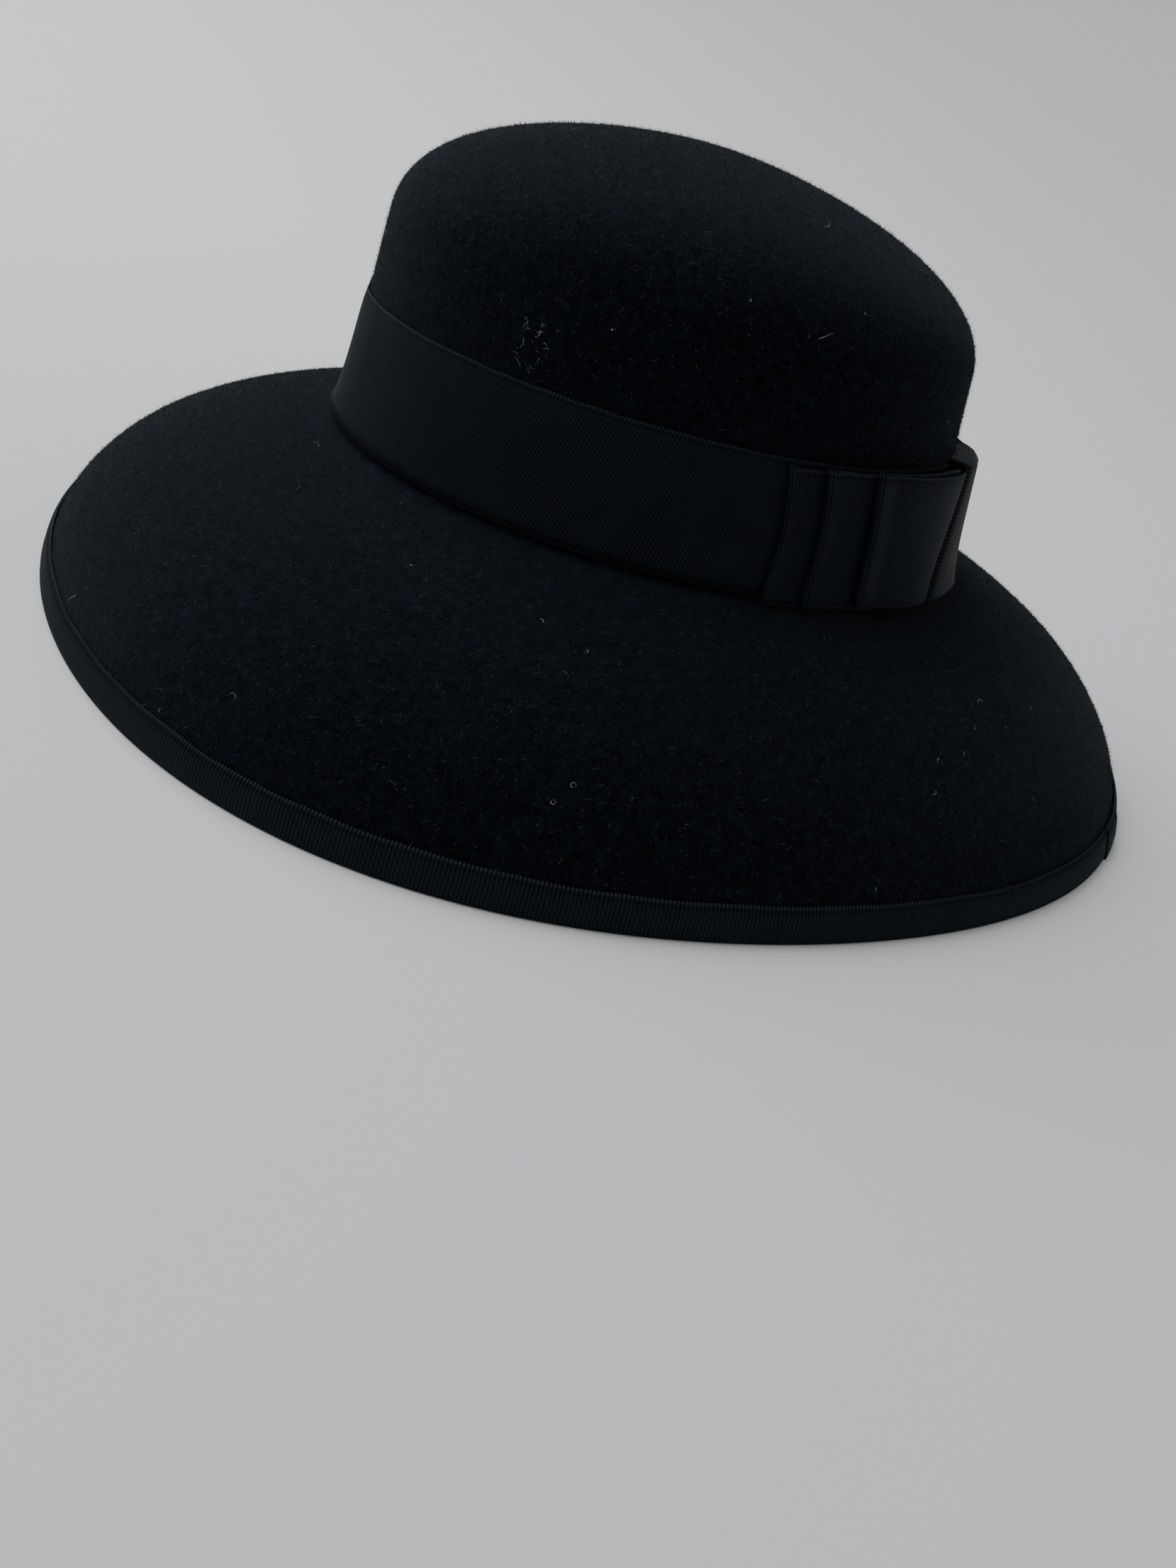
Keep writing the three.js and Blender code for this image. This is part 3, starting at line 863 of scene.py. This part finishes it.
# How thick a loop is: its two leaves, the slit between them, the bulge beside the knot and the puff of the
# fold. Its floor is the sum of what lies under it.
def loopDepth(loop, run):
    parting = bowShape["pressedSlit"]
    parting = parting + (bowShape["slit"] - parting) * grow(knotHalf, bowShape["slitRun"], run)
    arch = np.sin(np.pi * grow(knotHalf, loop["reach"] - knotHalf, run) ** bowShape["archPower"])
    arch = np.where(run < 0, bowShape["farBulge"], 1) * arch
    near = grow(loop["reach"] - bowShape["foldRun"], bowShape["foldRun"], run)
    puff = bowShape["foldPuff"] * (3 - 2 * near) * near ** 2
    return 2 * bowShape["leaf"] + parting + loop["bulge"] * arch + puff


def loopFloor(level, run):
    rest = bowShape["rest"] + 0 * run
    return rest + sum(loopDepth(loop, run) + rest for loop in bowShape["loops"][:level])


# Runs and distances of equal steps along a closed line, and its outward direction.
def evenPath(run, out, columns):
    ahead = np.hypot(np.diff(run, append=run[0]), np.diff(out, append=out[0]))
    length = np.concatenate([[0], np.cumsum(ahead)])
    steps = np.arange(columns) / columns * length[-1]
    run = np.interp(steps, length, np.append(run, run[0]))
    out = np.interp(steps, length, np.append(out, out[0]))
    aside = np.stack([np.roll(out, -1) - np.roll(out, 1), np.roll(run, 1) - np.roll(run, -1)], -1)
    return run, out, unit(aside), length[-1]


# A loop's middle line goes out along the lower leaf, round the fold and back along the upper leaf.
def loopLine(loop, level):
    half = bowShape["leaf"] / 2
    fold = loop["reach"] - bowShape["leaf"] - (bowShape["slit"] + bowShape["foldPuff"]) / 2
    leaf = np.linspace(-fold, fold, bowShape["leafSteps"])
    lower = loopFloor(level, leaf) + half
    upper = loopFloor(level, leaf) + loopDepth(loop, leaf) - half
    middle = (lower[-1] + upper[-1]) / 2
    radius = (upper[-1] - lower[-1]) / 2 + bowShape["foldSwell"]
    angle = np.linspace(-bowShape["foldAngle"], bowShape["foldAngle"], bowShape["foldSteps"]) * np.pi / 180
    bendRun, bendOut = fold + radius * np.cos(angle), middle + radius * np.sin(angle)
    run = np.concatenate([leaf, bendRun, leaf[::-1], -bendRun[::-1]])
    out = np.concatenate([lower, bendOut, upper[::-1], bendOut[::-1]])
    return run, out


def addLoop(loop, level):
    line = loopLine(loop, level)
    length = evenPath(*line, 4)[3]
    columns = perRib * round(length / ribbonShape["ribPitch"])
    run, out, aside, _ = evenPath(*line, columns)
    thick = bowShape["leaf"] - bowShape["ribDepth"]
    width = ribbonShape["bandWidth"]
    across, offset, ribbed, edges = ribbonSection(
        width, thick, bowShape["outerRows"], bowShape["innerRows"],
    )
    wave = ribWave(columns)
    offset = offset + bowShape["ribDepth"] / 2 * ribbed * wave
    pinch = bowShape["pinch"] * (1 - grow(knotHalf, bowShape["slitRun"], run))
    share = across / width
    height = bandFoot - loop["sink"] + pinch + (width - 2 * pinch) * share
    height = height + bowShape["scallop"] * edges * wave
    height = height - bowShape["farSink"] * grow(knotHalf, bowShape["farRun"], run) * (run < 0)
    places = np.stack([run + 0 * share, out + 0 * share, across + 0 * run], -1)
    soft = bowShape["softness"] * softWaves(places, bowShape["softLengths"], seed=60)
    grid = bowPoint(run + aside[:, 0] * offset, out + aside[:, 1] * offset + soft, height)
    along = np.arange(columns + 1) * ribbonShape["ribPitch"] / perRib
    rows = np.append(across[:, 0], across[0, 0]) - width / 2
    piece = addSkin(loop["name"], grid, grosgrain, True, along, rows)
    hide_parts(loop["node"])


for level, loop in enumerate(bowShape["loops"]):
    addLoop(loop, level)
print("bow loops made")


# The knot: ribbon wrapped over the middle of the bow, with rounded corners, its ribs across it.
def addKnot(shape):
    inner = loopFloor(len(shape["loops"]), 0.0)
    thick = shape["knotThick"]
    foot = bandFoot - shape["loops"][0]["sink"] + shape["pinch"] - ribbonShape["fit"] - thick / 2
    head = bandTop + ribbonShape["fit"] + thick / 2
    front = inner + thick / 2
    corner = shape["corner"]
    angle = np.linspace(0, np.pi / 2, shape["cornerSteps"])
    lowerOut, lowerHeight = front - corner + corner * np.sin(angle), foot + corner - corner * np.cos(angle)
    upperOut, upperHeight = front - corner + corner * np.cos(angle), head - corner + corner * np.sin(angle)
    lowEnd, highEnd = shape["rest"] + shape["tucked"], shape["headTucked"] - ribbonShape["thick"]
    line = np.stack([
        np.concatenate([[lowEnd], lowerOut, upperOut, [highEnd]]),
        np.concatenate([[foot], lowerHeight, upperHeight, [head]]),
    ], -1)
    length = np.concatenate([[0], np.cumsum(np.linalg.norm(np.diff(line, axis=0), axis=1))])
    rings = perRib * round(length[-1] / ribbonShape["ribPitch"]) + 1
    steps = np.linspace(0, length[-1], rings)
    path = np.stack([np.interp(steps, length, line[:, k]) for k in (0, 1)], -1)
    ahead = unit(np.gradient(path, axis=0))
    aside = np.stack([ahead[:, 1], -ahead[:, 0]], -1)
    across, offset, ribbed, edges = ribbonSection(
        shape["knotWidth"], thick - ribbonShape["ribDepth"], shape["knotOuterRows"], shape["knotInnerRows"],
    )
    wave = ribWave(rings)
    offset = offset + ribbonShape["ribDepth"] / 2 * ribbed * wave
    share = across / shape["knotWidth"]
    puff = shape["knotPuff"] * (1 - np.abs(2 * share - 1) ** 8)
    puff = puff + shape["crease"] * np.cos(share * 6 * np.pi)
    offset = offset + puff * (ribbed > 0) * np.clip(aside[:, 0], 0, 1) ** 2
    run = across - shape["knotWidth"] / 2 + shape["scallop"] * edges * wave
    height = path[:, 1] + aside[:, 1] * offset
    grid = bowPoint(run, path[:, 0] + aside[:, 0] * offset, height)
    across = (np.append(across[:, 0], across[0, 0]) / shape["knotWidth"] - 0.5) * ribbonShape["bandWidth"]
    grid = np.swapaxes(grid, 0, 1)
    knot = addSkin("bowKnotWrap", grid, grosgrain, False, across, steps, swapped=True)
    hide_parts("bow_knot")


addKnot(bowShape)
print("knot made")

# The stage: a pale floor that rises into a wall all round, like a paper sweep.
stageShape = {
    "middleRadius": 20,
    "floorRadius": 600,
    "bendRadius": 1900,
    "bendSteps": 16,
    "wallTop": 2600,
    "turnStep": 5,
    "color": "#e3e3e1",
}


# A profile of floor, quarter circle and wall, turned round the vertical axis.
def addStage(shape):
    bend = np.linspace(0, np.pi / 2, shape["bendSteps"])
    onBend = shape["floorRadius"] + shape["bendRadius"] * np.sin(bend)
    radius = np.concatenate([[shape["middleRadius"]], onBend])
    level = np.concatenate([[0], shape["bendRadius"] * (1 - np.cos(bend))])
    radius, level = np.append(radius, radius[-1]), np.append(level, shape["wallTop"])
    turn = np.radians(np.arange(0, 360, shape["turnStep"]))
    grid = np.stack(np.broadcast_arrays(
        radius[:, None] * np.cos(turn), radius[:, None] * np.sin(turn), level[:, None] + 0 * turn), -1)
    quads, _, _ = gridFaces(len(radius), len(turn), False, True)
    centre = len(radius) * len(turn)
    ring = np.arange(len(turn))
    fan = np.stack([np.full(len(turn), centre), ring, (ring + 1) % len(turn)], -1)
    mesh = bpy.data.meshes.new("paperSweep")
    points = np.concatenate([grid.reshape(-1, 3), [[0, 0, 0]]]) * metre
    mesh.from_pydata(points.tolist(), [], quads[:, ::-1].tolist() + fan.tolist())
    mesh.polygons.foreach_set("use_smooth", np.full(len(mesh.polygons), True))
    material, tree, shader = startMaterial("palePaper", {"Roughness": 0.9, "Specular IOR Level": 0.2})
    place = addNode(tree, "ShaderNodeTexCoord")
    grain = addNode(tree, "ShaderNodeTexNoise", {"Scale": 900.0}, {"Vector": place.outputs["Object"]})
    bump = addNode(
        tree, "ShaderNodeBump", {"Strength": 0.1, "Distance": 0.0001}, {"Height": grain.outputs["Fac"]},
    )
    tree.links.new(bump.outputs[0], shader.inputs["Normal"])
    shader.inputs["Base Color"].default_value = linearColor(shape["color"])
    mesh.materials.append(material)
    stage = bpy.data.objects.new("paperSweep", mesh)
    bpy.context.scene.collection.objects.link(stage)


addStage(stageShape)

# Soft light: a pale sky, and a wide panel high in front of the hat, a little to the wearer's right.
lightShape = {
    "sky": "#ccd0d2",
    "skyStrength": 0.55,
    "panelPlace": (-300, -900, 1350),
    "panelAim": (0, 0, 80),
    "panelSize": 1400,
    "panelPower": 30,
    "panelColor": "#f8faff",
}


def addLights(shape):
    world = bpy.data.worlds.new("studioSky")
    world.use_nodes = True
    background = world.node_tree.nodes["Background"]
    background.inputs["Color"].default_value = linearColor(shape["sky"])
    background.inputs["Strength"].default_value = shape["skyStrength"]
    bpy.context.scene.world = world
    panel = bpy.data.lights.new("softPanel", "AREA")
    panel.shape = "SQUARE"
    panel.size = shape["panelSize"] * metre
    panel.energy = shape["panelPower"]
    panel.color = linearColor(shape["panelColor"])[:3]
    lamp = bpy.data.objects.new("softPanel", panel)
    place = np.array(shape["panelPlace"]) * metre
    facing = unit(np.array(shape["panelAim"]) * metre - place)
    side = unit(np.cross(facing, [0, 1, 0]))
    above = np.cross(side, facing)
    turned = Matrix(np.stack([side, above, -facing], 1).tolist()).to_4x4()
    lamp.matrix_world = Matrix.Translation(place.tolist()) @ turned
    bpy.context.scene.collection.objects.link(lamp)


addLights(lightShape)

# The camera: close to the hat, above it and to its left, and turned a little about its own axis.
cameraShape = {
    "place": (371.3, 109.8, 167.7),
    "heading": 104.43,
    "below": 30.8,
    "roll": 15.12,
    "lens": 27.78,
    "frameHeight": 36,
}


# Turned by its roll, tipped up from looking straight down, and turned to its heading from +Y.
def addCamera(shape):
    lens = bpy.data.cameras.new("photoView")
    lens.sensor_fit = "VERTICAL"
    lens.sensor_height = shape["frameHeight"]
    lens.lens = shape["lens"]
    lens.clip_start = 0.01
    camera = bpy.data.objects.new("photoView", lens)
    heading = Matrix.Rotation(math.radians(shape["heading"]), 4, "Z")
    tip = Matrix.Rotation(math.radians(90 - shape["below"]), 4, "X")
    roll = Matrix.Rotation(math.radians(shape["roll"]), 4, "Z")
    place = Matrix.Translation([value * metre for value in shape["place"]])
    camera.matrix_world = place @ heading @ tip @ roll
    bpy.context.scene.collection.objects.link(camera)
    bpy.context.scene.camera = camera


addCamera(cameraShape)
print("stage, light and camera made")
